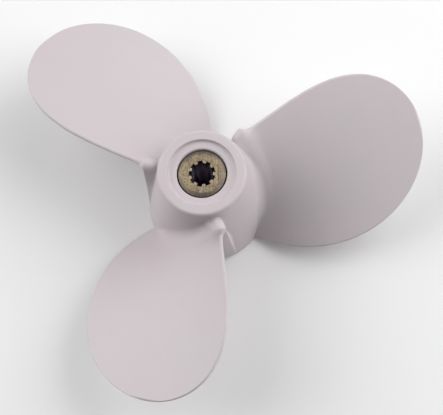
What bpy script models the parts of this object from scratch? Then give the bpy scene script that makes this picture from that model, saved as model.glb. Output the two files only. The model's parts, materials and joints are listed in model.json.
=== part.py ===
"""Three-bladed propeller of a small outboard motor.

One aluminium casting carries the hub and the three blades. A rubber bush sits in the hub's bore, and
a splined brass sleeve sits in the bush.

Frame: +Z runs aft along the shaft's axis, away from the gearcase. z = 0 is the plane of the hub's
forward rim, on which the propeller rests when it is set down. Blade 1 points along +Y.
Right-handed: seen from aft it turns clockwise to drive ahead. Sizes are in metres.
"""

import math

import bmesh
import bpy
from mathutils import Matrix

MM = 0.001
TURN = 2 * math.pi
SHARP_ANGLE = math.radians(35)
CHAMFER_SHARP_ANGLE = math.radians(20)

# Propeller
BLADE_COUNT = 3
FIRST_BLADE_ANGLE = TURN / 4
TIP_RADIUS = 95.25 * MM  # 7.5 inches across the tips
PITCH = 177.8 * MM  # 7 inches of advance in one turn
SEAT_GAP = 0.3 * MM  # between two pieces that touch

# Hub casting
HUB_LENGTH = 47 * MM
RIM_RADIUS = 25.8 * MM  # forward end, on the gearcase
FACE_RADIUS = 18.5 * MM  # aft end, under the nut
COUNTERBORE_RADIUS = 14.6 * MM
COUNTERBORE_DEPTH = 1 * MM
COUNTERBORE_DRAFT = 0.2 * MM
LIP_RADIUS = 10.6 * MM  # the aft lip that stops the bush
LIP_THICKNESS = 4.4 * MM
BORE_RADIUS = 13.2 * MM
BOSS_RADIUS = 16.8 * MM
BOSS_SETBACK = 6 * MM  # from the rim to the boss's forward face
SHELL_THICKNESS = 3.2 * MM
POCKET_DEPTH = 22 * MM
POCKET_DRAFT = 0.4 * MM
RIB_THICKNESS = 3.5 * MM
RIB_SETBACK = 9 * MM
RIB_EMBED = 0.8 * MM  # of a rib in the shell
FACE_ROUNDING = 1.2 * MM
CAST_ROUNDING = 0.8 * MM  # in and around the forward pocket
RIM_ROUNDING = 0.4 * MM
LIP_ROUNDING = 0.3 * MM
HUB_SEGMENTS = 60

# Blades: e is the arc from a blade's reference line at radius r, positive towards the trailing edge
BLADE_ROOT_RADIUS = 22 * MM  # where the outline's formula starts
BLADE_HEIGHT = 26.1 * MM  # of the reference line at the root
RAKE = 7.3 * MM  # aft, from root to tip
LEAD_ROOT, LEAD_GROWTH, LEAD_TAPER = 19.7 * MM, 60.5 * MM, -20.1 * MM
TRAIL_ROOT, TRAIL_GROWTH, TRAIL_TAPER = 13.0 * MM, 25.2 * MM, 14.0 * MM
ROOT_THICKNESS = 6.4 * MM
TIP_THICKNESS = 2.6 * MM
THICKNESS_POWER = 1.5  # of the fall from root to tip
EDGE_RADIUS = 0.9 * MM
MOST_EDGE_SHARE = 0.45  # of the chord that one round edge may take
TRAIL_ROOT_RADIUS = 1.7 * MM  # the blunter trailing edge beside the hub
BLUNT_REACH = 5 * MM
SHOULDER_REACH = 1.6 * MM  # over which the trailing edge steps in from its seat to the outline
ROOT_FILLET = 4 * MM
FILLET_DEPTH = 0.9  # at 1 the fillet would end tangent to the wall
FILLET_FADE = 0.6  # of half the chord, at both edges
TRAIL_FILLET_SHARE = 0.3  # of the fillet that is left at the trailing edge
ROOT_STATIONS = 12
OUTER_STATIONS = 16
ROOT_SHARE = 0.19  # of the blade's height that the closer stations at the root take
FACE_POINTS = 9
EDGE_STEPS = 2  # to a quarter of the round edge
ROOT_POWER = 3  # how fast the stations stop following the hub's cone
TIP_OPENING = 0.02  # of the last section, so that it keeps an area

# Seat under each blade, a sector of a drum that fills the hub out to the rim on the forward side
SEAT_RADIUS = 25.75 * MM
SEAT_TAPER = 0.015  # loss of radius per unit of height
SEAT_TRAIL_ANGLE = math.radians(36)
SEAT_WALL_SETBACK = math.radians(0.6)  # of the end wall's top, under the blade's round edge
SEAT_WALL_LEAN = math.radians(0.7) / MM  # outwards over the hub's cone
SEAT_WALL_DRAFT = math.radians(5.5)  # how much further that wall reaches at the rim
SEAT_FLOOR = 0.6 * MM
SEAT_START_HEIGHT = 0.4 * MM  # of its low end
SEAT_STEPS = 16
SEAT_LEAN_POWER = 6  # how fast the lean fades away from the end wall
EMBED = 1.5 * MM  # how deep blades and seats run into the hub's wall

# Bush and sleeve
SLEEVE_RADIUS = 8 * MM
SLEEVE_FORWARD_END = 4.6 * MM
SLEEVE_HEAD_RADIUS = 10.1 * MM
SLEEVE_HEAD_THICKNESS = 3.2 * MM
SLEEVE_AFT_END = 45.3 * MM
SLEEVE_CHAMFER = 0.6 * MM
HEAD_CHAMFER_WIDTH = 1.6 * MM
HEAD_CHAMFER_DEPTH = 0.7 * MM
SPLINE_COUNT = 9
SPLINE_MAJOR_RADIUS = 5.5 * MM
SPLINE_MINOR_RADIUS = 4.4 * MM
SPLINE_SLOT_SHARE = 0.56  # of a tooth's pitch that its slot takes at the minor radius
SPLINE_SLOT_TAPER = 0.9  # of that width at the major radius
CUTTER_MARGIN = 5 * MM
SPLINE_TURN = math.radians(13)
SLEEVE_SEGMENTS = 54
BUSH_SETBACK = 1 * MM  # from the boss's forward face to the rubber
BUSH_ROUNDING = 0.8 * MM

# Finishes: base colour, roughness, metallic
FINISHES = {
    "white_paint": ((0.70, 0.66, 0.67, 1), 0.42, 0.0),
    "black_rubber": ((0.02, 0.02, 0.02, 1), 0.8, 0.0),
    "brass": ((0.47, 0.38, 0.22, 1), 0.4, 1.0),
}


def clear_scene():
    for old in list(bpy.data.objects):
        bpy.data.objects.remove(old, do_unlink=True)


def finish_material(name):
    colour, roughness, metallic = FINISHES[name]
    material = bpy.data.materials.new(name)
    material.use_nodes = True
    shader = material.node_tree.nodes["Principled BSDF"]
    shader.inputs["Base Color"].default_value = colour
    shader.inputs["Roughness"].default_value = roughness
    shader.inputs["Metallic"].default_value = metallic
    return material


def add_object(name, mesh_builder, material=None, helper=False):
    """Turns a bmesh into a named object, with its faces pointing out. A helper is left out of renders."""
    bmesh.ops.recalc_face_normals(mesh_builder, faces=mesh_builder.faces)
    mesh = bpy.data.meshes.new(name)
    mesh_builder.to_mesh(mesh)
    mesh_builder.free()
    mesh.shade_smooth()
    mesh.set_sharp_from_angle(angle=SHARP_ANGLE)
    obj = bpy.data.objects.new(name, mesh)
    bpy.context.scene.collection.objects.link(obj)
    if material:
        mesh.materials.append(material)
    if helper:
        obj.hide_render = True
        obj.display_type = "WIRE"
    return obj


def apply_modifiers(obj, helpers, sharp_angle):
    """Keeps the evaluated mesh, smooth between its sharp edges, and drops the helpers that shaped it."""
    evaluated = obj.evaluated_get(bpy.context.evaluated_depsgraph_get())
    mesh = bpy.data.meshes.new_from_object(evaluated)
    obj.modifiers.clear()
    obj.data = mesh
    for helper in helpers:
        bpy.data.objects.remove(helper, do_unlink=True)
    mesh.shade_smooth()
    mesh.set_sharp_from_angle(angle=sharp_angle)
    shading = obj.modifiers.new("even shading", "WEIGHTED_NORMAL")
    shading.keep_sharp = True


def rounded_profile(corners, steps=3):
    """Points of a closed (r, z) outline whose corners (r, z, radius) are rounded by arcs."""
    points = []
    for i, (r, z, radius) in enumerate(corners):
        before, after = corners[i - 1], corners[(i + 1) % len(corners)]
        if radius == 0:
            points.append((r, z))
            continue
        to_before = math.atan2(before[1] - z, before[0] - r)
        to_after = math.atan2(after[1] - z, after[0] - r)
        opening = (to_after - to_before + math.pi) % TURN - math.pi
        half = abs(opening) / 2
        middle = to_before + opening / 2
        reach = radius / math.sin(half)
        centre = (r + reach * math.cos(middle), z + reach * math.sin(middle))
        side = 1 if opening > 0 else -1
        start = to_before - side * math.pi / 2
        sweep = -side * (math.pi - 2 * half)
        for k in range(steps + 1):
            angle = start + sweep * k / steps
            points.append((centre[0] + radius * math.cos(angle), centre[1] + radius * math.sin(angle)))
    return points


def lathe(points, segments):
    """Spins a closed (r, z) outline about Z."""
    builder = bmesh.new()
    verts = [builder.verts.new((r, 0, z)) for r, z in points]
    edges = [builder.edges.new((verts[i - 1], verts[i])) for i in range(len(verts))]
    bmesh.ops.spin(
        builder,
        geom=verts + edges,
        cent=(0, 0, 0),
        axis=(0, 0, 1),
        angle=TURN,
        steps=segments,
        use_merge=True,
    )
    bmesh.ops.remove_doubles(builder, verts=builder.verts, dist=1e-6)
    return builder


def loft(loops, folded_caps=False):
    """Skins closed loops of equal length, and caps the first and the last.

    A flat loop is capped by one face. A bent one, whose first and middle points are its two ends, is
    capped by a strip of faces from its one side to its other.
    """
    builder = bmesh.new()
    rows = [[builder.verts.new(point) for point in loop] for loop in loops]
    for low, high in zip(rows, rows[1:]):
        for i in range(len(low)):
            builder.faces.new((low[i - 1], low[i], high[i], high[i - 1]))
    for row in (rows[0], rows[-1]):
        if not folded_caps:
            builder.faces.new(row)
            continue
        for i in range(len(row) // 2):
            corners = [row[i], row[i + 1], row[-i - 1], row[-i]]
            builder.faces.new(list(dict.fromkeys(corners)))
    return builder


def hub_radius(z):
    """Outer radius of the hub's cone at height z."""
    return RIM_RADIUS + (FACE_RADIUS - RIM_RADIUS) * z / HUB_LENGTH


def seat_radius(z):
    return SEAT_RADIUS - SEAT_TAPER * z


def outline_share(radius):
    return (radius - BLADE_ROOT_RADIUS) / (TIP_RADIUS - BLADE_ROOT_RADIUS)


def edge_arcs(radius):
    """Arc lengths from the reference line to the leading and the trailing edge.

    Inside the seat's radius both edges run straight in towards the axis, and the trailing edge covers
    the seat's end wall.
    """
    inner = max(radius, SEAT_RADIUS)
    share = outline_share(inner)
    rounding = math.sqrt(max(0.0, 1 - share**2))
    lead = rounding * (LEAD_ROOT + LEAD_GROWTH * share + LEAD_TAPER * share**2)
    trail = rounding * (TRAIL_ROOT + TRAIL_GROWTH * share + TRAIL_TAPER * share**2)
    shoulder = SEAT_TRAIL_ANGLE * SEAT_RADIUS - TRAIL_ROOT - TRAIL_GROWTH * outline_share(SEAT_RADIUS)
    trail += shoulder * math.exp(-(((inner - SEAT_RADIUS) / SHOULDER_REACH) ** 2))
    return lead * radius / inner, trail * radius / inner


def surface_height(radius, arc):
    """Height of the blade's helicoid: pitch times the share of a turn, plus the rake."""
    return BLADE_HEIGHT + PITCH * arc / (TURN * radius) + RAKE * outline_share(radius)


def fillet(distance):
    """How much a root fillet adds at this distance from the hub's surface."""
    inside = ROOT_FILLET - min(max(distance, 0.0), ROOT_FILLET)
    return ROOT_FILLET - math.sqrt(ROOT_FILLET**2 - inside**2 * FILLET_DEPTH)


def smooth_step(share):
    share = min(max(share, 0.0), 1.0)
    return share**2 * (3 - 2 * share)


def fillet_strength(s):
    """Share of the root fillet at chord share s: none at the leading edge, and less at the trailing one."""
    growing = smooth_step((s + 1) / FILLET_FADE)
    ending = smooth_step((s - 1 + FILLET_FADE) / FILLET_FADE)
    return growing * (1 - (1 - TRAIL_FILLET_SHARE) * ending)


def blade_point(radius, along, offset, blade_angle):
    """Point at a true distance along the helix from the reference line, and offset normal to it."""
    pitch_angle = math.atan2(PITCH, TURN * radius)
    arc = along * math.cos(pitch_angle)
    angle = blade_angle + (arc - offset * math.sin(pitch_angle)) / radius
    height = surface_height(radius, arc) + offset * math.cos(pitch_angle)
    return (radius * math.cos(angle), radius * math.sin(angle), height)


def root_radius_at(s):
    """Innermost radius of the blade at chord position s, just inside the hub's wall."""
    lead, trail = edge_arcs(BLADE_ROOT_RADIUS)
    arc = (trail - lead) / 2 + s * (trail + lead) / 2
    return hub_radius(surface_height(BLADE_ROOT_RADIUS, arc)) - EMBED


def station_radius(share, s):
    """Radius at a share of the blade's height: it follows the hub's cone at the root only."""
    base = root_radius_at(0) + (TIP_RADIUS - root_radius_at(0)) * share
    return base + (root_radius_at(s) - root_radius_at(0)) * (1 - share) ** ROOT_POWER


def blade_loop(share, blade_angle):
    """Closed section of the blade: aft face, leading edge, back and trailing edge.

    The section is a thin core with a round edge at each end. Near the hub it thickens by the root
    fillet, measured from the hub's cone on the aft side and from the seat on the back. The fillet fades
    towards the leading edge, which meets the hub at its forward rim.
    """
    tip_distance = (TIP_RADIUS - station_radius(share, 0)) / EDGE_RADIUS
    closing = math.sqrt(max(TIP_OPENING, 1 - max(0.0, 1 - tip_distance) ** 2))
    points = []

    def add(s, turn):
        """Adds the point at chord share s from -1 to 1, on the face or back, or at a turn round an edge."""
        radius = station_radius(share, s)
        lead, trail = edge_arcs(radius)
        cosine = math.cos(math.atan2(PITCH, TURN * radius))
        start, end = -lead / cosine, trail / cosine
        near_hub = math.exp(-max(0.0, radius - SEAT_RADIUS) / BLUNT_REACH)
        most = MOST_EDGE_SHARE * (end - start)
        lead_edge = min(EDGE_RADIUS * closing, most)
        trail_edge = (EDGE_RADIUS + (TRAIL_ROOT_RADIUS - EDGE_RADIUS) * near_hub) * closing
        trail_edge = min(trail_edge, most)
        along = start + lead_edge + (s + 1) / 2 * (end - start - lead_edge - trail_edge)
        edge = lead_edge + (trail_edge - lead_edge) * (s + 1) / 2
        aft_share = (1 + math.sin(turn)) / 2
        height = surface_height(radius, along * cosine)
        wall = seat_radius(height) * (1 - aft_share) + hub_radius(height) * aft_share
        grown = edge + fillet(radius - wall) * fillet_strength(s)
        body = TIP_THICKNESS + (ROOT_THICKNESS - TIP_THICKNESS) * (1 - share) ** THICKNESS_POWER
        swell = max(0.0, body * closing - 2 * edge) * (1 - s * s)
        offset = grown * math.sin(turn) - (swell if turn < 0 else 0)
        points.append((radius, along + s * edge * abs(math.cos(turn)), offset))

    across = [math.cos(math.pi * (i + 1) / (FACE_POINTS + 1)) for i in range(FACE_POINTS)]
    around = [math.pi / 2 * (1 - i / EDGE_STEPS) for i in range(2 * EDGE_STEPS + 1)]
    for turn in around[EDGE_STEPS::-1]:
        add(1, turn)
    for s in across:
        add(s, math.pi / 2)
    for turn in around:
        add(-1, turn)
    for s in reversed(across):
        add(s, -math.pi / 2)
    for turn in around[:EDGE_STEPS:-1]:
        add(1, turn)
    return [blade_point(radius, along, offset, blade_angle) for radius, along, offset in points]


def blade_builder(blade_angle):
    """Lofts the blade from just inside the hub to the tip, with stations closer at both ends."""
    shares = [ROOT_SHARE * i / ROOT_STATIONS for i in range(ROOT_STATIONS)]
    for i in range(OUTER_STATIONS):
        turn = math.pi / 2 * i / (OUTER_STATIONS - 1)
        shares.append(ROOT_SHARE + (1 - ROOT_SHARE) * math.sin(turn))
    shares[-1] = 1 - TIP_OPENING * EDGE_RADIUS / TIP_RADIUS
    return loft([blade_loop(share, blade_angle) for share in shares], folded_caps=True)


def seat_builder(blade_angle):
    """Lofts the drum sector under a blade from where the helicoid leaves the rim to the trailing edge.

    Each section lies under the helicoid. The end wall has draft towards the rim, so that it can leave
    the mould, and it leans outwards over the hub's cone.
    """
    climb = PITCH / TURN
    first = (SEAT_FLOOR + SEAT_START_HEIGHT - BLADE_HEIGHT) / climb
    last = SEAT_TRAIL_ANGLE - SEAT_WALL_SETBACK
    loops = []
    for i in range(SEAT_STEPS + 1):
        share = i / SEAT_STEPS
        angle = first + (last - first) * share
        top = BLADE_HEIGHT + climb * angle
        lean = SEAT_WALL_LEAN * share**SEAT_LEAN_POWER
        foot = hub_radius(top) - EMBED
        foot_angle = angle - lean * (seat_radius(top) - foot)
        drafted = angle + SEAT_WALL_DRAFT * share
        rim_foot = hub_radius(SEAT_FLOOR) - EMBED
        section = [
            (rim_foot, drafted - lean * (SEAT_RADIUS - rim_foot), SEAT_FLOOR),
            (SEAT_RADIUS, drafted, SEAT_FLOOR),
            (seat_radius(top), angle, top),
            (foot, foot_angle, BLADE_HEIGHT + climb * foot_angle),
        ]
        turned = [(r, blade_angle + a, z) for r, a, z in section]
        loops.append([(r * math.cos(a), r * math.sin(a), z) for r, a, z in turned])
    return loft(loops)


def rib_builder(blade_angle):
    """Box rib that ties the boss to the shell inside the forward pocket."""
    inner, outer = BOSS_RADIUS - EMBED, RIM_RADIUS - SHELL_THICKNESS + RIB_EMBED
    builder = bmesh.new()
    bmesh.ops.create_cube(builder, size=1)
    length, height = outer - inner, POCKET_DEPTH + EMBED - RIB_SETBACK
    bmesh.ops.scale(builder, vec=(length, RIB_THICKNESS, height), verts=builder.verts)
    middle = ((inner + outer) / 2, 0, RIB_SETBACK + height / 2)
    bmesh.ops.translate(builder, vec=middle, verts=builder.verts)
    turn = Matrix.Rotation(blade_angle, 3, "Z")
    bmesh.ops.rotate(builder, cent=(0, 0, 0), matrix=turn, verts=builder.verts)
    return builder


def hub_builder():
    """Turned body of the hub: cone, aft face, counterbore, stepped bore, boss and forward pocket."""
    floor_radius = hub_radius(POCKET_DEPTH) - SHELL_THICKNESS
    lip_top = HUB_LENGTH - COUNTERBORE_DEPTH
    flank = [(hub_radius(share * HUB_LENGTH), share * HUB_LENGTH, 0) for share in (0.25, 0.5, 0.75)]
    corners = [
        (RIM_RADIUS, 0, RIM_ROUNDING),
        *flank,
        (FACE_RADIUS, HUB_LENGTH, FACE_ROUNDING),
        (COUNTERBORE_RADIUS, HUB_LENGTH, RIM_ROUNDING),
        (COUNTERBORE_RADIUS - COUNTERBORE_DRAFT, lip_top, LIP_ROUNDING),
        (LIP_RADIUS, lip_top, LIP_ROUNDING),
        (LIP_RADIUS, lip_top - LIP_THICKNESS, 0),
        (BORE_RADIUS, lip_top - LIP_THICKNESS, 0),
        (BORE_RADIUS, BOSS_SETBACK, RIM_ROUNDING),
        (BOSS_RADIUS - POCKET_DRAFT, BOSS_SETBACK, CAST_ROUNDING),
        (BOSS_RADIUS, POCKET_DEPTH, CAST_ROUNDING),
        (floor_radius, POCKET_DEPTH, CAST_ROUNDING),
        (RIM_RADIUS - SHELL_THICKNESS, 0, RIM_ROUNDING),
    ]
    return lathe(rounded_profile(corners), HUB_SEGMENTS)


def add_casting():
    """Hub, blades, seats and ribs, united in one Boolean."""
    casting = add_object("propeller_casting", hub_builder(), finish_material("white_paint"))
    forms = bpy.data.collections.new("casting_forms")
    bpy.context.scene.collection.children.link(forms)
    for number in range(BLADE_COUNT):
        angle = FIRST_BLADE_ANGLE + TURN * number / BLADE_COUNT
        for name, build in (("seat", seat_builder), ("blade", blade_builder), ("rib", rib_builder)):
            forms.objects.link(add_object(f"{name}_{number + 1}", build(angle), helper=True))
    union = casting.modifiers.new("one casting", "BOOLEAN")
    union.operation = "UNION"
    union.solver = "EXACT"
    union.operand_type = "COLLECTION"
    union.collection = forms
    apply_modifiers(casting, list(forms.objects), SHARP_ANGLE)
    bpy.data.collections.remove(forms)
    return casting


def add_bush():
    """Rubber ring between the sleeve and the hub's bore."""
    top = HUB_LENGTH - COUNTERBORE_DEPTH - LIP_THICKNESS - SEAT_GAP
    inner, outer = SLEEVE_RADIUS + SEAT_GAP, BORE_RADIUS - SEAT_GAP
    bottom = BOSS_SETBACK + BUSH_SETBACK
    corners = [
        (outer, bottom, BUSH_ROUNDING),
        (outer, top, BUSH_ROUNDING),
        (inner, top, 0),
        (inner, bottom, 0),
    ]
    builder = lathe(rounded_profile(corners), SLEEVE_SEGMENTS)
    return add_object("rubber_bush", builder, finish_material("black_rubber"))


def spline_cutter():
    """Prism of the spline's outline: slots out to the major radius, teeth in to the minor radius."""
    tooth_pitch = TURN / SPLINE_COUNT
    half = SPLINE_SLOT_SHARE * tooth_pitch / 2
    outline = []
    for number in range(SPLINE_COUNT):
        middle = SPLINE_TURN + number * tooth_pitch
        outline += [
            (SPLINE_MINOR_RADIUS, middle - half),
            (SPLINE_MAJOR_RADIUS, middle - half * SPLINE_SLOT_TAPER),
            (SPLINE_MAJOR_RADIUS, middle + half * SPLINE_SLOT_TAPER),
            (SPLINE_MINOR_RADIUS, middle + half),
        ]
    heights = (0, HUB_LENGTH + CUTTER_MARGIN)
    return loft([[(r * math.cos(a), r * math.sin(a), z) for r, a in outline] for z in heights])


def add_sleeve():
    """Brass sleeve: a turned body with a chamfered head, cut through by the spline."""
    inner = SPLINE_MINOR_RADIUS / 2
    under_head = SLEEVE_AFT_END - SLEEVE_HEAD_THICKNESS
    outline = [
        (SLEEVE_RADIUS - SLEEVE_CHAMFER, SLEEVE_FORWARD_END),
        (SLEEVE_RADIUS, SLEEVE_FORWARD_END + SLEEVE_CHAMFER),
        (SLEEVE_RADIUS, under_head),
        (SLEEVE_HEAD_RADIUS, under_head),
        (SLEEVE_HEAD_RADIUS, SLEEVE_AFT_END - HEAD_CHAMFER_DEPTH),
        (SLEEVE_HEAD_RADIUS - HEAD_CHAMFER_WIDTH, SLEEVE_AFT_END),
        (inner, SLEEVE_AFT_END),
        (inner, SLEEVE_FORWARD_END),
    ]
    builder = lathe(outline, SLEEVE_SEGMENTS)
    sleeve = add_object("splined_sleeve", builder, finish_material("brass"))
    cut = sleeve.modifiers.new("spline", "BOOLEAN")
    cut.operation = "DIFFERENCE"
    cut.solver = "EXACT"
    cut.object = add_object("spline", spline_cutter(), helper=True)
    apply_modifiers(sleeve, [cut.object], CHAMFER_SHARP_ANGLE)
    return sleeve


clear_scene()
add_casting()
add_bush()
add_sleeve()
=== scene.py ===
"""Looks of the outboard motor propeller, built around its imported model.

Shapes are worked out in millimetres in the model's frame, and become metres when a mesh is made.
Z runs aft along the shaft. Angles are in radians, seen from aft and counted anticlockwise.
"""

import json
import math

import bmesh
import bpy
import numpy as np
from mathutils import Matrix, Vector

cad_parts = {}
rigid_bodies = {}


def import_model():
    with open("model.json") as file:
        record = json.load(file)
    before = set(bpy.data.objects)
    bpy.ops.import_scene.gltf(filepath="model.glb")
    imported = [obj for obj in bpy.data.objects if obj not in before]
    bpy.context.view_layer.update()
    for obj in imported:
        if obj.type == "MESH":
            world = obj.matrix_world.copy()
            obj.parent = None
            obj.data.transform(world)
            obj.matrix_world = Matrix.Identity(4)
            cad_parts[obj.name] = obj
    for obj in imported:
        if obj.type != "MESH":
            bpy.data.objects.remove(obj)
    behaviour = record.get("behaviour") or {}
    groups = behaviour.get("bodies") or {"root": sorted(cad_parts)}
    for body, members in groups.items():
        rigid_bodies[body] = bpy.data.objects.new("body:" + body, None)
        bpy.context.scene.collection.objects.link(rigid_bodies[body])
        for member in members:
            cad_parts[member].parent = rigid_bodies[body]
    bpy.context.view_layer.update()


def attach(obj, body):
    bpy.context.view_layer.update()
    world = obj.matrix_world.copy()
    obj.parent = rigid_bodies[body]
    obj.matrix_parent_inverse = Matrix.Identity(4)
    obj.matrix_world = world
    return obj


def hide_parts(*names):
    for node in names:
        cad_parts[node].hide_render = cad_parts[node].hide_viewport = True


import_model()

MM = 0.001
MERGE_DISTANCE = 1e-7  # metres
TURN = 2 * math.pi
SHARP_ANGLE = math.radians(40)
SLEEVE_SHARP_ANGLE = math.radians(30)

# Casting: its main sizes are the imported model's
BLADE_COUNT = 3
FIRST_BLADE_ANGLE = TURN / 4
TIP_RADIUS = 95.23  # a hair inside the model's
PITCH = 177.8
HUB_LENGTH = 47.0
RIM_RADIUS = 25.8
FACE_RADIUS = 18.5
FACE_ROUNDING = 1.3
SMALL_ROUNDING = 0.4
COUNTERBORE_RADIUS = 14.4
COUNTERBORE_DRAFT = 0.6
COUNTERBORE_ROUNDING = 1.1
LIP_TOP = 45.6
LIP_BOTTOM = 41.6
LIP_RADIUS = 10.5
LIP_ROUNDING = 0.8
LIP_FOOT_ROUNDING = 0.2
BORE_RADIUS = 13.2
BOSS_RADIUS = 16.8
BOSS_BOTTOM = 6.0
SHELL_THICKNESS = 3.2
POCKET_TOP = 22.0
POCKET_DRAFT = 0.4
CAST_ROUNDING = 0.8
RIB_THICKNESS = 3.5
RIB_BOTTOM = 9.0
RIB_EMBED = 1.2  # into the boss and the shell
RIB_FLARE = 1.2
RIB_FLARE_REACH = 2.4
MOST_FLARE_SHARE = 0.98  # of that reach, so that the flare never stands upright
RIB_SQUARENESS = 0.25  # power of the sine and cosine that draw its section

# Blade: arcs run from its reference line, positive towards the trailing edge
BLADE_ROOT_RADIUS = 22.0
BLADE_HEIGHT = 26.1  # of its root on the reference line
RAKE = 7.3  # aft, from root to tip
LEAD_ARC = (19.7, 60.2, -20.1)  # a, b and c of a + bt + ct², where t is the share of the way to the tip
TRAIL_ARC = (13.0, 24.95, 14.0)
ROOT_THICKNESS = 6.4
TIP_THICKNESS = 2.6
THICKNESS_POWER = 1.5  # of the fall from root to tip
TIP_OPENING = 0.002  # least square of the tip's closing, so that the last section keeps an area
TIP_GAP = 0.001  # between the last section and the tip's radius, where the chord would be nothing
EDGE_RADIUS = 0.9
MOST_EDGE_SHARE = 0.45  # of the chord that one round edge may take
TRAIL_ROOT_RADIUS = 2.1
TRAIL_ROOT_ROUNDING = math.radians(0.012)  # per cubic millimetre
BLUNT_RADIUS = 23.65  # out to here the trailing edge is blunt
BLUNT_REACH = 6.5  # over which it thins from there
SHOULDER_RADIUS = 24.9
SHOULDER_REACH = 1.7
ROOT_FILLET = 3.8
FILLET_DEPTH = 0.985  # at 1 the fillet would end tangent to the wall
FILLET_FADE = 0.6  # half chords from the leading edge over which the fillet grows
FILLET_TAPER = 0.8  # half chords over which it eases off again
FILLET_END = 0.95  # where that ends on the aft side, from -1 at the leading edge to 1
BACK_FILLET_END = 0.5  # where it ends on the back
TRAIL_FILLET_SHARE = 0.22  # of the fillet that the trailing edge keeps on the aft side
LEAST_FILLET = 0.001  # keeps its radius above nothing
AFT_WALL_RISE = 0.8  # of the skin's turn, as a sine, over which the drum gives way to the cone
EMBED = 1.5  # of blades and ribs in the hub
THUMB_HEIGHT = 0.75
THUMB_WIDTH = 2.6
THUMB_SETBACK = 1.6  # from the trailing edge

# Rows of a blade, from inside the hub to its wall, beside the wall, and from there to the tip
HIDDEN_ROWS = 5
NEAR_ROWS = 30
OUTER_ROWS = 58
NEAR_REACH = 8.0  # of the near rows from the wall
SETTLING_ROUNDS = 8

# Seat, the drum that fills the hub out under each blade
SEAT_RADIUS = 25.75
SEAT_TAPER = 0.015
SEAT_TRAIL_ANGLE = math.radians(36.0)
SEAT_WALL_ANGLE = math.radians(30.4)  # of the crest at the wall's top, before it leans
SEAT_WALL_DRAFT = math.radians(13.2)
SEAT_WALL_LEAN = math.radians(1.02)  # per millimetre of rise
SEAT_LEAN_START = 1.0  # the lean is full this far behind the wall
SEAT_LEAN_REACH = 8.0  # and has faded this far behind it
SEAT_WALL_TOP = 44.0
SEAT_WALL_SLOPE = 6.0
SEAT_WALL_FULL = 38.0  # height from which the wall has that slope
SEAT_RAMP_SLOPE = 1.7
SEAT_RAMP_TOP = 19.0  # height up to which the wall is only a ramp
SEAT_RIDGE = 1.3
SEAT_FOOT = 3.0
MOST_RIDGE_SHARE = 0.45  # of the seat's whole stand
MOST_FOOT_SHARE = 0.8
LEAST_STAND = 0.001
SEAT_TOP_FADE = 1.0
NOSE_LOW = 35.0  # height from which the hub's rows are closer
FLANK_DEPTH = 0.44  # points of the outline less deep under the cone are its flank
WALL_COLUMNS = ((-4, -1, 8), (-1, 2.6, 36), (2.6, 7, 12))  # beyond the wall: from, to, steps
FAR_STEPS = 55  # over the rest of a blade's share of the turn

# How far the photograph is turned about the shaft
PHOTO_TURN = math.radians(-45.8)


def smooth_step(share):
    """0 below 0, 1 above 1, and 3t² - 2t³ between."""
    share = np.clip(share, 0, 1)
    return share**2 * (3 - 2 * share)


def smooth_min(a, b, reach):
    """The smaller of a and b, less h² reach / 4, where h is the share of reach that their gap lacks."""
    short = np.clip(reach - np.abs(a - b), 0, None) / reach
    return np.minimum(a, b) - short**2 * reach / 4


def polar(radius, angle, height):
    """Points from their radii, angles and heights."""
    return np.stack(np.broadcast_arrays(radius * np.cos(angle), radius * np.sin(angle), height), -1)


def hub_radius(z):
    """The hub's cone: a straight line from the rim's radius to the aft face's."""
    return RIM_RADIUS + (FACE_RADIUS - RIM_RADIUS) * z / HUB_LENGTH


def seat_radius(z):
    """The seat's drum narrows a little towards the aft face."""
    return SEAT_RADIUS - SEAT_TAPER * z


def outline_share(radius):
    """Share of the way from the blade's root to its tip."""
    return (radius - BLADE_ROOT_RADIUS) / (TIP_RADIUS - BLADE_ROOT_RADIUS)


def edge_arcs(radius):
    """Arcs to the leading and trailing edge, and how much of the second is the seat's corner.

    Each is a parabola in the share of the blade's height, times the ellipse that closes the tip. Near
    the shoulder's radius the trailing one swells out to the corner by a bell. Further in both keep a
    constant angle, but the trailing root draws back by the cube of the way in.
    """
    inner = np.maximum(radius, SHOULDER_RADIUS)
    share = outline_share(inner)
    rounding = np.sqrt(np.clip(1 - share**2, 0, None))
    lead, trail = (rounding * (a + b * share + c * share**2) for a, b, c in (LEAD_ARC, TRAIL_ARC))
    plain = TRAIL_ARC[0] + TRAIL_ARC[1] * outline_share(SHOULDER_RADIUS)
    step = np.exp(-(((inner - SHOULDER_RADIUS) / SHOULDER_REACH) ** 2))
    corner = (SEAT_TRAIL_ANGLE * SHOULDER_RADIUS - plain) * step
    drawn_back = TRAIL_ROOT_ROUNDING * (inner - radius) ** 3
    return lead * radius / inner, ((trail + corner) / inner - drawn_back) * radius, corner


def surface_height(radius, arc):
    """The blade's helicoid: its own height, plus pitch times the share of a turn, plus the rake."""
    return BLADE_HEIGHT + PITCH * arc / (TURN * radius) + RAKE * outline_share(radius)


def fillet(distance, radius):
    """Height of a root fillet's quarter circle at this distance from the wall. It ends almost tangent to
    the wall, so that the two surfaces still cut each other in a clean line."""
    inside = radius - np.clip(distance, 0, radius)
    return radius - np.sqrt(radius**2 - inside**2 * FILLET_DEPTH)


def fillet_strength(s, turn):
    """Share of the root fillet along the chord: it grows from the leading edge. Towards the trailing one
    it eases off to a little on the aft side, and on the back it has ended well before the edge."""
    aft_share = (1 + np.sin(turn)) / 2
    growing = smooth_step((s + 1) / FILLET_FADE)
    ending = smooth_step((s - FILLET_END + FILLET_TAPER) / FILLET_TAPER)
    back_ending = smooth_step((s - BACK_FILLET_END + FILLET_TAPER) / FILLET_TAPER)
    ending = back_ending + (ending - back_ending) * aft_share
    return growing * (1 - (1 - TRAIL_FILLET_SHARE * aft_share) * ending)


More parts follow.
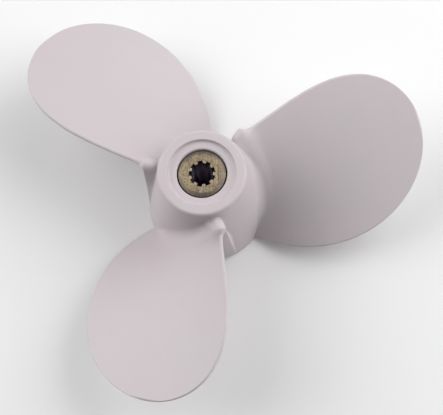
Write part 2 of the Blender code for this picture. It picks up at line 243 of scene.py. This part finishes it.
def grid_mesh(name, points, wrap_rows=False, folded_ends=False):
    """Mesh of points[row, column], each joined to its neighbours, and the last column to the first.

    Wrapped rows join the last row to the first too. Folded ends close the first and the last row by
    strips from column k to column -k.
    """
    rows, columns = points.shape[:2]
    index = np.arange(rows * columns).reshape(rows, columns)
    if wrap_rows:
        index = np.vstack([index, index[:1]])
    index = np.hstack([index, index[:, :1]])
    corners = (index[:-1, :-1], index[:-1, 1:], index[1:, 1:], index[1:, :-1])
    quads = [np.stack(corners, -1).reshape(-1, 4)]
    if folded_ends:
        k = np.arange(columns // 2)
        for row, turn in ((0, -1), (rows - 1, 1)):
            strip = np.stack([k, k + 1, columns - k - 1, (columns - k) % columns], -1) + row * columns
            quads.append(strip[:, ::turn])
    mesh = bpy.data.meshes.new(name)
    mesh.from_pydata(points.reshape(-1, 3) * MM, [], np.concatenate(quads).tolist())
    builder = bmesh.new()
    builder.from_mesh(mesh)
    bmesh.ops.remove_doubles(builder, verts=builder.verts, dist=MERGE_DISTANCE)
    bmesh.ops.recalc_face_normals(builder, faces=builder.faces)
    builder.to_mesh(mesh)
    builder.free()
    mesh.shade_smooth()
    return mesh


def add_piece(name, mesh):
    piece = bpy.data.objects.new(name, mesh)
    bpy.context.scene.collection.objects.link(piece)
    return piece


def rounded_outline(corners, arc_steps=6):
    """Closed (r, z) outline of corners (r, z, rounding, steps): each corner becomes an arc, and the line
    that follows it is cut into that many steps."""
    arcs = []
    for i, (r, z, rounding, _) in enumerate(corners):
        here = np.array([r, z])
        before = np.array(corners[i - 1][:2]) - here
        after = np.array(corners[(i + 1) % len(corners)][:2]) - here
        before, after = (side / np.linalg.norm(side) for side in (before, after))
        half = math.acos(np.clip(before @ after, -1, 1)) / 2
        if rounding == 0:
            arcs.append(here[None])
            continue
        inward = (before + after) / np.linalg.norm(before + after)
        centre = here + inward * rounding / math.sin(half)
        start = here + before * rounding / math.tan(half) - centre
        side = np.array([-start[1], start[0]])
        side *= np.sign(side @ (after - before))
        turns = np.linspace(0, math.pi - 2 * half, arc_steps + 1)[:, None]
        arcs.append(centre + start * np.cos(turns) + side * np.sin(turns))
    lines = []
    for i, arc in enumerate(arcs):
        shares = np.linspace(0, 1, corners[i][3] + 1)[1:-1, None]
        following = arcs[(i + 1) % len(arcs)][0]
        lines += [arc, arc[-1] + (following - arc[-1]) * shares]
    return np.concatenate(lines)


def seat_wall_angle(z):
    """Angle of the end wall's crest, which moves on towards the rim by the wall's draft."""
    return SEAT_WALL_ANGLE + SEAT_WALL_DRAFT * (1 - z / SEAT_WALL_TOP)


def seat_stand(angle, z):
    """How far the seat stands off the hub's cone, at an angle from the blade's reference line, and by
    what angle it leans over there.

    Under the helicoid it is drum radius less cone radius. At the end wall a sloping line is joined to the
    drum by a rounded ridge and to the cone by a hollow foot. The wall is steep beside the blade and runs
    out in a ramp at the rim. The lean grows with the rise and fades away from the wall. The seat ends
    at the helicoid, which is taken at half the lean, by a smooth step that is half done there.
    """
    full = np.maximum(seat_radius(z) - hub_radius(z), LEAST_STAND)
    beyond = (angle - seat_wall_angle(z)) * BLADE_ROOT_RADIUS
    turning = smooth_step((z - SEAT_RAMP_TOP) / (SEAT_WALL_FULL - SEAT_RAMP_TOP))
    steep = SEAT_RAMP_SLOPE + (SEAT_WALL_SLOPE - SEAT_RAMP_SLOPE) * turning
    top = smooth_min(full, full - steep * beyond, np.minimum(SEAT_RIDGE, MOST_RIDGE_SHARE * full))
    rise = -smooth_min(-top, 0, np.minimum(SEAT_FOOT, MOST_FOOT_SHARE * full))
    behind = (-beyond - SEAT_LEAN_START) / (SEAT_LEAN_REACH - SEAT_LEAN_START)
    lean = SEAT_WALL_LEAN * (1 - smooth_step(behind))
    pitch_angle = math.atan(PITCH / TURN / SEAT_RADIUS)
    nose_middle = SEAT_TRAIL_ANGLE - TRAIL_ROOT_RADIUS * math.cos(pitch_angle) / SHOULDER_RADIUS
    under_blade = np.minimum(angle + lean * rise / 2, nose_middle)
    middle = (hub_radius(z) + seat_radius(z)) / 2
    above = z - surface_height(middle, middle * under_blade)
    rise = rise * (1 - smooth_step(above / SEAT_TOP_FADE + 0.5))
    return rise, lean * rise


def hub_points():
    """The hub's outline turned about Z. On the flank each radius grows by the seat's rise and each angle
    by its lean. The columns follow the seats' end walls and crowd together there."""
    outline = rounded_outline([
        (RIM_RADIUS, 0, SMALL_ROUNDING, 28),
        (hub_radius(NOSE_LOW), NOSE_LOW, 0, 40),
        (FACE_RADIUS, HUB_LENGTH, FACE_ROUNDING, 2),
        (COUNTERBORE_RADIUS, HUB_LENGTH, SMALL_ROUNDING, 1),
        (COUNTERBORE_RADIUS - COUNTERBORE_DRAFT, LIP_TOP, COUNTERBORE_ROUNDING, 2),
        (LIP_RADIUS, LIP_TOP, LIP_ROUNDING, 1),
        (LIP_RADIUS, LIP_BOTTOM, LIP_FOOT_ROUNDING, 1),
        (BORE_RADIUS, LIP_BOTTOM, 0, 4),
        (BORE_RADIUS, BOSS_BOTTOM, SMALL_ROUNDING, 1),
        (BOSS_RADIUS - POCKET_DRAFT, BOSS_BOTTOM, CAST_ROUNDING, 3),
        (BOSS_RADIUS, POCKET_TOP, CAST_ROUNDING, 1),
        (hub_radius(POCKET_TOP) - SHELL_THICKNESS, POCKET_TOP, CAST_ROUNDING, 3),
        (RIM_RADIUS - SHELL_THICKNESS, 0, SMALL_ROUNDING, 1),
    ])
    r, z = outline[:, :1], np.maximum(outline[:, 1:], 0)
    flank = hub_radius(z) - r < FLANK_DEPTH
    near = [[WALL_COLUMNS[0][0]]] + [np.linspace(a, b, steps + 1)[1:] for a, b, steps in WALL_COLUMNS]
    near = np.concatenate(near) / BLADE_ROOT_RADIUS
    far = np.linspace(near[-1] - TURN / BLADE_COUNT, near[0], FAR_STEPS + 1)[1:-1]
    angle = seat_wall_angle(z) + np.concatenate([far, near])
    rise, lean = (np.where(flank, value, 0) for value in seat_stand(angle, z))
    radius, angle = r + rise, angle + lean
    sectors = [FIRST_BLADE_ANGLE + TURN * number / BLADE_COUNT for number in range(BLADE_COUNT)]
    return np.concatenate([polar(radius, angle + sector, z) for sector in sectors], 1)


def blade_section(radius, wall, s, turn):
    """Angle and height of the blade's skin at a radius, where wall is the hub's radius beside it.

    s runs over the chord from -1 at the leading edge to 1, and turn from a right angle on the aft face
    to minus a right angle on the back. The skin stands off the helicoid by the edge's radius, plus a
    parabola in s on the back, plus the root fillet and the thumb, which is a bell along the trailing
    edge beside the hub, inside the seat's corner.
    """
    share = np.clip(outline_share(radius), 0, 1)
    past_tip_edge = np.clip(1 - (TIP_RADIUS - radius) / EDGE_RADIUS, 0, None)
    closing = np.sqrt(np.maximum(TIP_OPENING, 1 - past_tip_edge**2))
    lead, trail, corner = edge_arcs(radius)
    pitch_angle = np.arctan(PITCH / TURN / radius)
    start, end = -lead / np.cos(pitch_angle), trail / np.cos(pitch_angle)
    most = MOST_EDGE_SHARE * (end - start)
    blunt = 1 - smooth_step((radius - BLUNT_RADIUS) / BLUNT_REACH)
    lead_edge = np.minimum(EDGE_RADIUS * closing, most)
    trail_edge = EDGE_RADIUS + (TRAIL_ROOT_RADIUS - EDGE_RADIUS) * blunt
    trail_edge = np.minimum(trail_edge * closing, most)
    along = start + lead_edge + (s + 1) / 2 * (end - start - lead_edge - trail_edge)
    edge = lead_edge + (trail_edge - lead_edge) * (s + 1) / 2

    from_edge = end - along - corner / np.cos(pitch_angle)
    thumb = np.exp(-(((from_edge - THUMB_SETBACK) / THUMB_WIDTH) ** 2))
    thumb = THUMB_HEIGHT * thumb * blunt * (turn > 0)
    flare = fillet(radius - wall, ROOT_FILLET * fillet_strength(s, turn) + LEAST_FILLET)
    body = TIP_THICKNESS + (ROOT_THICKNESS - TIP_THICKNESS) * (1 - share) ** THICKNESS_POWER
    swell = np.clip(body * closing - 2 * edge, 0, None) * (1 - s**2)
    offset = (edge + flare + thumb) * np.sin(turn) - np.where(turn < 0, swell, 0)
    arc = (along + s * (edge + flare) * np.abs(np.cos(turn))) * np.cos(pitch_angle)
    angle = (arc - offset * np.sin(pitch_angle)) / radius
    return angle, surface_height(radius, arc) + offset * np.cos(pitch_angle)


def blade_points(face_points=44, edge_steps=6):
    """One blade: closed sections carried out along the helicoid.

    The first rows run from inside the hub to its wall, which is the cone on the aft side and the seat's
    drum on the back. The next ones stand off the wall by squares, close together where the fillet is
    steep, and the rest go out to the tip by a sine. The wall depends on the height and the height on the
    radius, so a few rounds settle both.
    """
    quarter = np.linspace(0, math.pi / 2, edge_steps + 1)
    across = np.cos(math.pi * np.arange(1, face_points + 1) / (face_points + 1))
    half = np.linspace(math.pi / 2, -math.pi / 2, 2 * edge_steps + 1)
    trail, lead = np.ones(edge_steps + 1), -np.ones(2 * edge_steps + 1)
    s = np.concatenate([trail, across, lead, -across, trail[1:]])
    flat = np.full(face_points, math.pi / 2)
    turn = np.concatenate([quarter, flat, half, -flat, -quarter[:0:-1]])
    on_back = smooth_step((s - BACK_FILLET_END) / (1 - BACK_FILLET_END))
    aft_side = np.maximum(smooth_step((1 + np.sin(turn)) / AFT_WALL_RISE), on_back)

    emerging = np.arange(HIDDEN_ROWS) / HIDDEN_ROWS
    emerged = np.concatenate([emerging, np.ones(NEAR_ROWS + OUTER_ROWS)])[:, None]
    squares = np.linspace(0, 1, NEAR_ROWS) ** 2
    stand_off = np.concatenate([np.zeros(HIDDEN_ROWS), squares, np.ones(OUTER_ROWS)])[:, None]
    sines = np.sin(np.linspace(0, math.pi / 2, OUTER_ROWS + 1)[1:])
    outward = np.concatenate([np.zeros(HIDDEN_ROWS + NEAR_ROWS), sines])[:, None]
    radius = wall = np.full((len(outward), len(s)), SEAT_RADIUS)
    for _ in range(SETTLING_ROUNDS):
        angle, height = blade_section(radius, wall, s, turn)
        cone = hub_radius(height)
        wall = seat_radius(height) * (1 - aft_side) + cone * aft_side
        base = (cone - EMBED) * (1 - emerged) + wall * emerged + NEAR_REACH * stand_off
        radius = np.minimum(base + (TIP_RADIUS - base) * outward, TIP_RADIUS - TIP_GAP)
    return polar(radius, angle, height)


def rib_points(stations=21, around=28):
    """A rib of the forward pocket: a rounded box section carried from the boss to the shell, wider at
    both ends by a quarter circle."""
    share = np.linspace(0, 1, stations)[:, None]
    inner, outer = BOSS_RADIUS - RIB_EMBED, RIM_RADIUS - SHELL_THICKNESS + RIB_EMBED
    x = inner + (outer - inner) * share
    turn = TURN * (np.arange(around) + 0.5) / around
    y = np.sign(np.cos(turn)) * np.abs(np.cos(turn)) ** RIB_SQUARENESS
    z = np.sign(np.sin(turn)) * np.abs(np.sin(turn)) ** RIB_SQUARENESS
    into_flare = 1 - np.minimum(x - inner, outer - x) / RIB_FLARE_REACH
    into_flare = np.clip(into_flare, 0, MOST_FLARE_SHARE)
    flare = RIB_FLARE * (1 - np.sqrt(1 - into_flare**2))
    top = POCKET_TOP + EMBED
    middle, half_height = (RIB_BOTTOM + top) / 2, (top - RIB_BOTTOM) / 2
    y = y * (RIB_THICKNESS / 2 + flare)
    return np.stack(np.broadcast_arrays(x, y, middle + z * half_height), -1)


def joined(body, others):
    """A piece that is the union of body with the other meshes. Each of them has to be closed."""
    piece = add_piece(body.name, body)
    forms = bpy.data.collections.new("forms")
    bpy.context.scene.collection.children.link(forms)
    for number, mesh in enumerate(others):
        form = bpy.data.objects.new(f"form_{number}", mesh)
        forms.objects.link(form)
    union = piece.modifiers.new("one casting", "BOOLEAN")
    union.operation = "UNION"
    union.solver = "MANIFOLD"
    union.operand_type = "COLLECTION"
    union.collection = forms
    evaluated = piece.evaluated_get(bpy.context.evaluated_depsgraph_get())
    mesh = bpy.data.meshes.new_from_object(evaluated)
    piece.modifiers.clear()
    piece.data = mesh
    for form in list(forms.objects):
        bpy.data.objects.remove(form, do_unlink=True)
    bpy.data.collections.remove(forms)
    mesh.shade_smooth()
    mesh.set_sharp_from_angle(angle=SHARP_ANGLE)
    shading = piece.modifiers.new("even shading", "WEIGHTED_NORMAL")
    shading.keep_sharp = True
    return piece


def turned(mesh, angle):
    mesh.transform(Matrix.Rotation(angle, 4, "Z"))
    return mesh


def add_casting():
    """Hub, seats, blades and ribs as one closed mesh."""
    others = []
    for number in range(BLADE_COUNT):
        angle = FIRST_BLADE_ANGLE + TURN * number / BLADE_COUNT
        others.append(turned(grid_mesh("blade", blade_points(), folded_ends=True), angle))
        others.append(turned(grid_mesh("rib", rib_points(), folded_ends=True), angle))
    return joined(grid_mesh("painted_casting", hub_points(), wrap_rows=True), others)


# Sleeve and ring
SLEEVE_RADIUS = 8.0
SLEEVE_BOTTOM = 4.6
SLEEVE_TOP = 45.3
SLEEVE_CHAMFER = 0.6
HEAD_RADIUS = 9.95
HEAD_BOTTOM = 42.1
HEAD_CHAMFER = (1.7, 0.65)
SPLINE_COUNT = 9
SPLINE_MAJOR = 5.5
SPLINE_MINOR = 4.5
SPLINE_SLOT_SHARE = 0.61  # of a tooth's pitch
SLOT_TAPER = 0.9  # share of the slot that has the whole depth
FLANK_SHARE = 0.12  # of half a slot, over which each side rises to the tooth
SPLINE_WALL = 0.6  # from the slots to where the turned outline stops
TOLERANCE = 0.01  # in telling whether a point lies on that stop
SPLINE_TURN = math.radians(13)
SPLINE_COLUMNS = ((0, 0.225, 5), (0.235, 0.30, 9), (0.32, 0.5, 5))  # half a pitch: from, to, number
SLEEVE_ROUNDING = 0.15
FOOT_ROUNDING = 0.1
HEAD_ROUNDING = 0.2
FACE_EDGE_ROUNDING = 0.12
MOUTH = 0.35  # rounding of the bore's edge
MOUTH_PROFILE = ((1, 0), (0.6, 0.1), (0.3, 0.4), (0.1, 0.8), (0, 1))  # shares of it, out and down
BORE_FIRST_ROW = 2.0  # depth below the mouth
BORE_ROWS = 8
RING_BOTTOM = 7.0
RING_TOP = 41.3
RING_ROUNDING = 1.0
RING_TOP_ROUNDING = 0.3
RING_FOOT_ROUNDING = 0.6
RING_COLUMNS = 96
CLEARANCE = 0.3


def sleeve_points():
    """The sleeve's outline turned about Z. In the bore the circle gives way to the spline: the minor
    radius at a tooth, the major radius in a slot, and a smooth step over each tooth's flank."""
    half = np.concatenate([np.linspace(*columns) for columns in SPLINE_COLUMNS])
    phase = np.concatenate([half, 1 - half[-2:0:-1]])
    across = np.abs((phase + 0.5) % 1 - 0.5)
    half_slot = SPLINE_SLOT_SHARE / 2
    tooth = smooth_step((across - SLOT_TAPER * half_slot) / (FLANK_SHARE * half_slot))
    spline = SPLINE_MAJOR + (SPLINE_MINOR - SPLINE_MAJOR) * tooth
    turn = (phase + np.arange(SPLINE_COUNT)[:, None]).ravel() * TURN / SPLINE_COUNT + SPLINE_TURN
    spline = np.tile(spline, SPLINE_COUNT)

    wide, deep = HEAD_CHAMFER
    inner = SPLINE_MAJOR + SPLINE_WALL
    outline = rounded_outline([
        (SLEEVE_RADIUS - SLEEVE_CHAMFER, SLEEVE_BOTTOM, FOOT_ROUNDING, 1),
        (SLEEVE_RADIUS, SLEEVE_BOTTOM + SLEEVE_CHAMFER, SLEEVE_ROUNDING, 6),
        (SLEEVE_RADIUS, HEAD_BOTTOM, SLEEVE_ROUNDING, 1),
        (HEAD_RADIUS, HEAD_BOTTOM, HEAD_ROUNDING, 1),
        (HEAD_RADIUS, SLEEVE_TOP - deep, SLEEVE_ROUNDING, 2),
        (HEAD_RADIUS - wide, SLEEVE_TOP, FACE_EDGE_ROUNDING, 4),
        (inner, SLEEVE_TOP, 0, 1),
        (inner, SLEEVE_BOTTOM, 0, 1),
    ], 4)
    outer = outline[outline[:, 0] > inner + TOLERANCE]
    length = SLEEVE_TOP - SLEEVE_BOTTOM
    below = [(0, depth) for depth in np.linspace(BORE_FIRST_ROW, length - MOUTH, BORE_ROWS)]
    bore = np.concatenate([MOUTH * np.array(MOUTH_PROFILE), below, [(MOUTH, length)]])
    radius = np.concatenate([outer[:, :1] + 0 * turn, spline + bore[:, :1]])
    height = np.concatenate([outer[:, 1:], SLEEVE_TOP - bore[:, 1:]])
    return polar(radius, turn, height)


def add_sleeve():
    mesh = grid_mesh("brass_sleeve", sleeve_points(), wrap_rows=True)
    mesh.set_sharp_from_angle(angle=SLEEVE_SHARP_ANGLE)
    return add_piece("brass_sleeve", mesh)


def add_ring():
    """Rubber ring: a rounded rectangle turned about Z."""
    inner, outer = SLEEVE_RADIUS + CLEARANCE, BORE_RADIUS - CLEARANCE
    outline = rounded_outline([
        (outer, RING_BOTTOM, RING_ROUNDING, 8),
        (outer, RING_TOP, RING_ROUNDING, 3),
        (inner, RING_TOP, RING_TOP_ROUNDING, 8),
        (inner, RING_BOTTOM, RING_FOOT_ROUNDING, 3),
    ])
    angle = TURN * np.arange(RING_COLUMNS) / RING_COLUMNS
    points = polar(outline[:, :1], angle, outline[:, 1:])
    return add_piece("rubber_ring", grid_mesh("rubber_ring", points, wrap_rows=True))


class Value:
    """A shader socket that Python's operators work on. Each operation adds a Math node."""

    def __init__(self, graph, socket):
        self.graph = graph
        self.socket = socket

    def math(self, operation, *values):
        return self.graph.node("ShaderNodeMath", {"operation": operation}, values)

    def __add__(self, other):
        return self.math("ADD", self, other)

    def __sub__(self, other):
        return self.math("SUBTRACT", self, other)

    def __rsub__(self, other):
        return self.math("SUBTRACT", other, self)

    def __mul__(self, other):
        return self.math("MULTIPLY", self, other)

    def __truediv__(self, other):
        return self.math("DIVIDE", self, other)

    def __rtruediv__(self, other):
        return self.math("DIVIDE", other, self)

    def __pow__(self, exponent):
        return self.math("POWER", self, exponent)

    __radd__ = __add__
    __rmul__ = __mul__


class Graph:
    """The nodes of one material, round its Principled shader. Constants go on the shader's own sockets."""

    def __init__(self, name, **constants):
        self.material = bpy.data.materials.new(name)
        self.material.use_nodes = True
        self.nodes = self.material.node_tree.nodes
        self.links = self.material.node_tree.links
        self.shader = self.nodes["Principled BSDF"]
        for key, value in constants.items():
            self.shader.inputs[key.replace("_", " ")].default_value = value
        coordinates = self.nodes.new("ShaderNodeTexCoord")
        self.place = Value(self, coordinates.outputs["Object"])

    def node(self, kind, settings=None, values=(), output=0):
        """Any node: its settings first, then values or links for its sockets, by number or by name."""
        made = self.nodes.new(kind)
        for key, value in (settings or {}).items():
            setattr(made, key, value)
        for key, value in (values.items() if isinstance(values, dict) else enumerate(values)):
            self.put(made.inputs[key], value)
        return Value(self, made.outputs[output])

    def put(self, socket, value):
        if isinstance(value, Value):
            self.links.new(value.socket, socket)
        else:
            socket.default_value = value

    def noise(self, scale, detail=2.0, roughness=0.5, place=None):
        """Noise of 0 to 1, with the scale in lumps a metre."""
        values = {"Vector": place or self.place, "Scale": scale, "Detail": detail, "Roughness": roughness}
        return self.node("ShaderNodeTexNoise", None, values)

    def mixed(self, factor, low, high):
        """Colour that goes from low to high as factor goes from 0 to 1. The node has a set of sockets
        for each type of data, and those of colours are inputs 6 and 7 and output 2."""
        low, high = (value if isinstance(value, Value) else (*value, 1) for value in (low, high))
        return self.node("ShaderNodeMix", {"data_type": "RGBA"}, {0: factor, 6: low, 7: high}, 2)

    def ramp(self, value, low, high):
        """0 below low, 1 above high, smooth between."""
        values = {"Value": value, "From Min": low, "From Max": high}
        return self.node("ShaderNodeMapRange", {"interpolation_type": "SMOOTHSTEP"}, values)

    def xyz(self):
        """The three coordinates of the place on the piece, in millimetres."""
        split = self.nodes.new("ShaderNodeSeparateXYZ")
        self.links.new(self.place.socket, split.inputs[0])
        return [Value(self, socket) / MM for socket in split.outputs]

    def bump(self, height, depth, strength, normal=None):
        """Normal of a surface that height raises by up to depth, in millimetres."""
        values = {"Height": height, "Distance": depth * MM, "Strength": strength}
        if normal:
            values["Normal"] = normal
        return self.node("ShaderNodeBump", None, values)

    def connect(self, **values):
        """Feeds the shader's sockets and gives back the material."""
        for key, value in values.items():
            self.put(self.shader.inputs[key.replace("_", " ")], value)
        return self.material


# Colours of the finishes
PAINT_MAUVE = (0.565, 0.500, 0.521)
PAINT_GREY = (0.553, 0.508, 0.522)
PAINT_DUSTY = (0.51, 0.465, 0.475)
BRASS_BROWN = (0.22, 0.165, 0.115)
BRASS_YELLOW = (0.37, 0.31, 0.165)
BRASS_BRUSHED = (0.52, 0.46, 0.34)
BRASS_ROSY = (0.29, 0.195, 0.155)
BRASS_PITTED = (0.16, 0.12, 0.09)
# Painted highlight: pale tooth ends in place of glints on the spline's mouth
BRASS_PAINTED_GLINT = (0.56, 0.50, 0.42)
# Painted shade: darker brown for the head's chamfer ring, beside the gap under the hub's lip
BRASS_CHAMFER_SHADE = (0.16, 0.13, 0.11)
BORE_BRASS = (0.40, 0.33, 0.20)
# Painted light and painted shade in the bore: pale grey deeper in, black near the mouth
BORE_PAINTED_LIGHT = (0.56, 0.48, 0.58)
BORE_PAINTED_SHADE = (0.026, 0.020, 0.024)
RUBBER_BLACK = (0.014, 0.014, 0.015)
RUBBER_BLOOM = (0.050, 0.047, 0.045)
FLOOR_DARKER = (0.83, 0.83, 0.83)
FLOOR_LIGHTER = (0.85, 0.85, 0.85)

# Radii between which the brass changes
TEETH_GLINT_RADII = (4.9, 5.8)
CHAMFER_SHADE_RADII = (8.0, 9.0)
BORE_WALL = (5.52, 5.66)

# Heights between which it changes in the bore: the mouth's edge, the rise from brass to painted light,
# pale grey, and from that to painted shade, black
BORE_MOUTH = (44.9, 45.2)
BORE_PAINTED_LIGHT_RISE = (8.0, 20.0)
BORE_PAINTED_SHADE_RISE = (33.0, 44.5)

BRUSHING = (1, 10, 3)  # how much longer the streaks are along each axis of the photograph


def paint_material():
    """Satin white paint with a slight mauve cast, over a die casting."""
    g = Graph("satin_paint", Metallic=0.0, IOR=1.45)
    mottle = g.noise(28, 3)
    cloud = g.noise(160, 4, 0.6)
    colour = g.mixed(g.ramp(mottle, 0.35, 0.65), PAINT_MAUVE, PAINT_GREY)
    colour = g.mixed(g.ramp(cloud, 0.40, 0.70) * 0.10, colour, PAINT_DUSTY)
    skin = g.noise(1100, 2)
    swell = g.noise(120, 2)
    normal = g.bump(swell, 0.12, 0.5)
    normal = g.bump(skin, 0.02, 0.6, normal)
    return g.connect(Base_Color=colour, Roughness=0.40 + 0.10 * cloud, Normal=normal)


def brass_material():
    """Tarnished brass: upright brush streaks and small pits on the face, painted highlights as pale ends
    on the spline's teeth, painted shade as a darker, browner chamfer ring, and a bore painted black as
    shade near its mouth and painted pale grey as light deeper in, going back to brass at the forward end."""
    g = Graph("tarnished_brass")
    x, y, z = g.xyz()
    radius = (x * x + y * y) ** 0.5
    values = {"Vector": g.place, "Rotation": (0, 0, PHOTO_TURN), "Scale": BRUSHING}
    streaked = g.node("ShaderNodeMapping", {"vector_type": "TEXTURE"}, values)
    streaks = g.noise(2200, 3, 0.6, streaked)
    broad = g.noise(700, 2, 0.5, streaked)
    patches = g.noise(330, 3, 0.6)
    pits = g.noise(1300, 2)
    colour = g.mixed(g.ramp(broad, 0.40, 0.60), BRASS_BROWN, BRASS_YELLOW)
    colour = g.mixed(g.ramp(streaks, 0.46, 0.62) * 0.7, colour, BRASS_BRUSHED)
    colour = g.mixed(g.ramp(patches, 0.46, 0.62) * 0.6, colour, BRASS_ROSY)
    colour = g.mixed(g.ramp(pits, 0.54, 0.62) * 0.8, colour, BRASS_PITTED)
    # Painted highlight: paler brass at the tooth ends, in place of glints on their rounded edges
    painted_glint = 1 - g.ramp(radius, *TEETH_GLINT_RADII)
    colour = g.mixed(painted_glint * 0.42, colour, BRASS_PAINTED_GLINT)
    # Painted shade: the chamfer ring at the head's rim is darkened
    colour = g.mixed(g.ramp(radius, *CHAMFER_SHADE_RADII) * 0.7, colour, BRASS_CHAMFER_SHADE)
    bore = (1 - g.ramp(radius, *BORE_WALL)) * (1 - g.ramp(z, *BORE_MOUTH))
    # Painted light and shade in the bore: brass at the forward end, pale grey deeper in, black near the
    # mouth
    bore_painted_tone = g.mixed(g.ramp(z, *BORE_PAINTED_LIGHT_RISE), BORE_BRASS, BORE_PAINTED_LIGHT)
    bore_painted_tone = g.mixed(g.ramp(z, *BORE_PAINTED_SHADE_RISE), bore_painted_tone, BORE_PAINTED_SHADE)
    colour = g.mixed(bore, colour, bore_painted_tone)
    normal = g.bump(streaks, 0.05, 0.5)
    normal = g.bump(patches, 0.10, 0.4, normal)
    roughness = 0.42 + 0.25 * patches + 0.25 * bore
    return g.connect(Base_Color=colour, Metallic=0.85 - 0.85 * bore, Roughness=roughness, Normal=normal)


def rubber_material():
    """Dull black rubber with a fine grain and a dusty bloom."""
    g = Graph("dull_rubber", Metallic=0.0)
    grain = g.noise(1500, 3)
    bloom = g.noise(220, 4, 0.6)
    colour = g.mixed(g.ramp(bloom, 0.4, 0.75) * 0.6, RUBBER_BLACK, RUBBER_BLOOM)
    return g.connect(Base_Color=colour, Roughness=0.70 + 0.2 * bloom, Normal=g.bump(grain, 0.05, 0.5))


def floor_material():
    g = Graph("pale_floor", Metallic=0.0)
    colour = g.mixed(g.noise(9, 2), FLOOR_DARKER, FLOOR_LIGHTER)
    return g.connect(Base_Color=colour, Roughness=0.9)


def dress(piece, material, node):
    """The piece takes the material and moves with the whole, and the node it stands for is hidden."""
    piece.data.materials.clear()
    piece.data.materials.append(material)
    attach(piece, "root")
    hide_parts(node)


FLOOR_HEIGHT = -0.4  # just clear of the rim
FLOOR_RADII = (0.1, 200, 600, 1500, 4000)
FLOOR_COLUMNS = 48


def add_floor():
    """Wide pale disc: rings of growing radius."""
    angle = TURN * np.arange(FLOOR_COLUMNS) / FLOOR_COLUMNS
    radius = np.array(FLOOR_RADII)[:, None]
    mesh = grid_mesh("floor", polar(radius, angle, FLOOR_HEIGHT))
    if mesh.polygons[0].normal.z < 0:
        mesh.flip_normals()
    floor = add_piece("floor", mesh)
    floor.data.materials.append(floor_material())


# Camera, fitted to the photograph's outline
CAMERA_PITCH = -0.285
CAMERA_YAW = -0.048
CAMERA_OFFSET = (-5.926, 1.351, -648.341)  # the model's origin, as the camera sees it
CAMERA_LENS = 118.8  # on Blender's sensor of 36 mm
CAMERA_CLIP = 20.0


def photo_frame():
    """Turns directions of the photograph (x right, y up, z towards the viewer) into the model's frame."""
    tilt = Matrix.Rotation(CAMERA_PITCH, 3, "X") @ Matrix.Rotation(CAMERA_YAW, 3, "Y")
    return Matrix.Rotation(PHOTO_TURN, 3, "Z") @ tilt.transposed()


def add_camera():
    """The photograph's viewpoint: the hub's axis is tilted a little away from the line of sight."""
    camera = bpy.data.objects.new("camera", bpy.data.cameras.new("camera"))
    bpy.context.scene.collection.objects.link(camera)
    camera.data.lens = CAMERA_LENS
    camera.data.clip_start = CAMERA_CLIP * MM
    turn = photo_frame()
    camera.matrix_world = Matrix.Translation(turn @ (-Vector(CAMERA_OFFSET) * MM)) @ turn.to_4x4()
    bpy.context.scene.camera = camera


LIGHT_DISTANCE = 900.0
LIGHT_SIZE = 800.0
LIGHT_AIM = (0, 0, 20)
WORLD_STRENGTH = 0.15

# Soft lights: degrees of azimuth from the photograph's right, of elevation towards its viewer, and watts
LIGHTS = (
    ("far_right", 30, 35, 5.4),
    ("far", 60, 35, 1.9),
    ("key", 150, 35, 4.1),
    ("right_fill", 0, 15, 2.3),
    ("left_fill", 163, 15, 2.6),
    ("far_low", 110, 0, 0.7),
)


def add_light(name, azimuth, elevation, power):
    """Square soft light that stands off in its direction and is aimed at the propeller."""
    light = bpy.data.lights.new(name, "AREA")
    light.size = LIGHT_SIZE * MM
    light.energy = power
    lamp = bpy.data.objects.new(name, light)
    bpy.context.scene.collection.objects.link(lamp)
    around, up = math.radians(azimuth), math.radians(elevation)
    towards = Vector((math.cos(around) * math.cos(up), math.sin(around) * math.cos(up), math.sin(up)))
    away = photo_frame() @ towards
    lamp.rotation_mode = "QUATERNION"
    lamp.location = (Vector(LIGHT_AIM) + away * LIGHT_DISTANCE) * MM
    lamp.rotation_quaternion = away.to_track_quat("Z", "Y")


def add_world():
    """Weak even light from all round."""
    world = bpy.data.worlds.new("studio")
    world.use_nodes = True
    background = world.node_tree.nodes["Background"]
    background.inputs["Color"].default_value = (1, 1, 1, 1)
    background.inputs["Strength"].default_value = WORLD_STRENGTH
    bpy.context.scene.world = world


add_camera()
dress(add_casting(), paint_material(), "propeller_casting")
dress(add_sleeve(), brass_material(), "splined_sleeve")
dress(add_ring(), rubber_material(), "rubber_bush")
add_floor()
for light in LIGHTS:
    add_light(*light)
add_world()
bpy.context.scene.view_settings.view_transform = "Standard"
